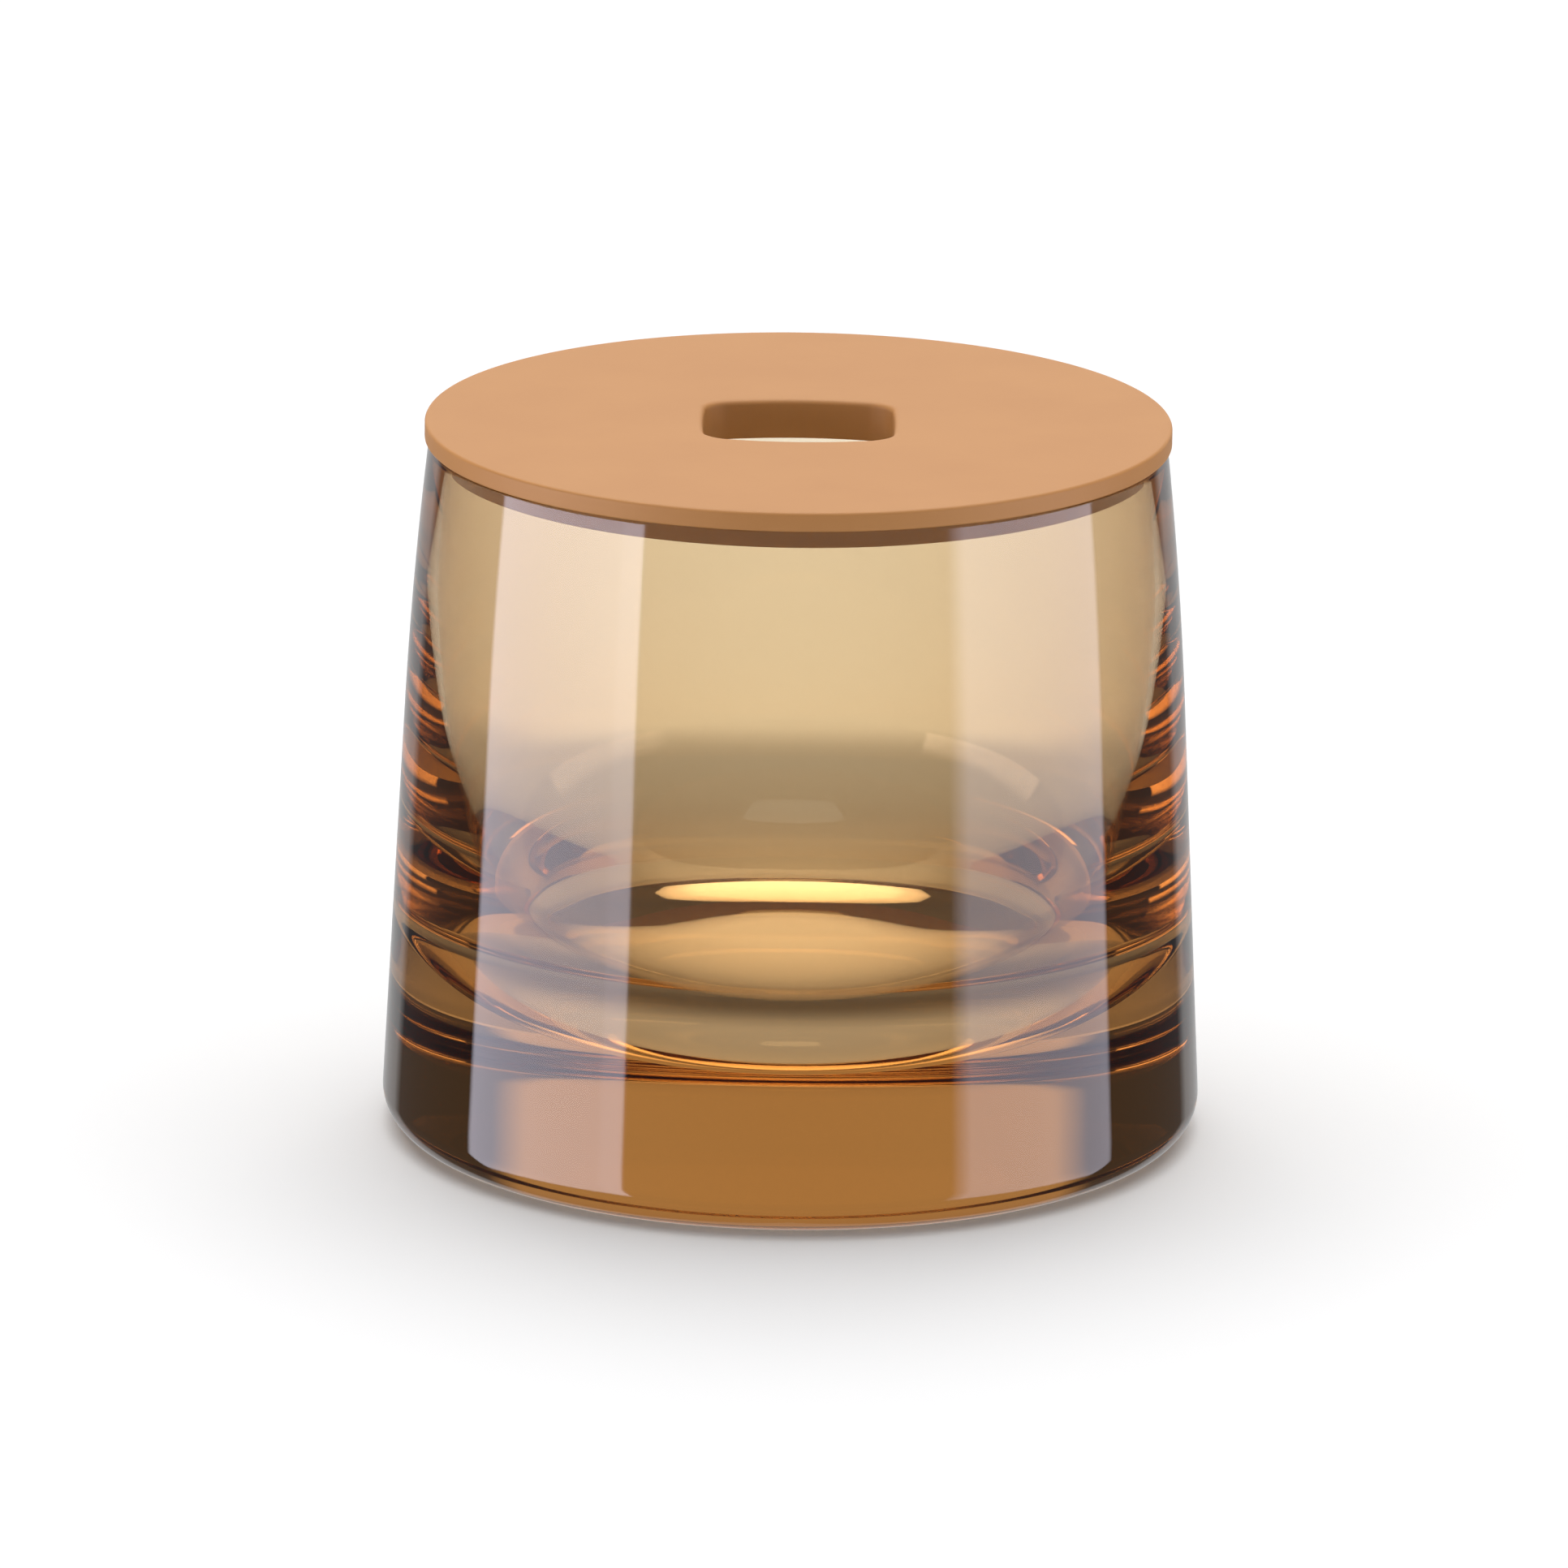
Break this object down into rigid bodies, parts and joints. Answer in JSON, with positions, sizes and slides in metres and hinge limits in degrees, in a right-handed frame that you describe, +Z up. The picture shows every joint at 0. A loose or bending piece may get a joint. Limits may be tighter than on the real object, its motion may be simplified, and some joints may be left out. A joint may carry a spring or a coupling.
{
  "type": "lidded candle jar",
  "caption": "Empty tapered candle jar of clear amber glass with a thick solid base and a loose flat round lid pierced by a soft-square finger hole.",
  "frame": {"origin": "centre of the jar's flat underside", "axes": "+Z up along the jar's axis; the finger hole's wide side runs along X, and -Y is the front"},
  "size_m": [0.1104, 0.1104, 0.0975],
  "materials": {
    "amber_glass": "fire-polished transparent glass, amber tinted, deeper orange-brown where it is thick",
    "lid_stoneware": "matte caramel-coloured stoneware or cast resin, very fine grain, softly rounded edges"
  },
  "bodies": {
    "jar": {"glass_jar": "amber_glass"},
    "lid": {"lid": "lid_stoneware"}
  },
  "joints": [
    {"name": "lid_lift", "type": "slide", "parent": "jar", "child": "lid", "axis": [0, 0, 1], "range_m": [0, 0.08]}
  ]
}
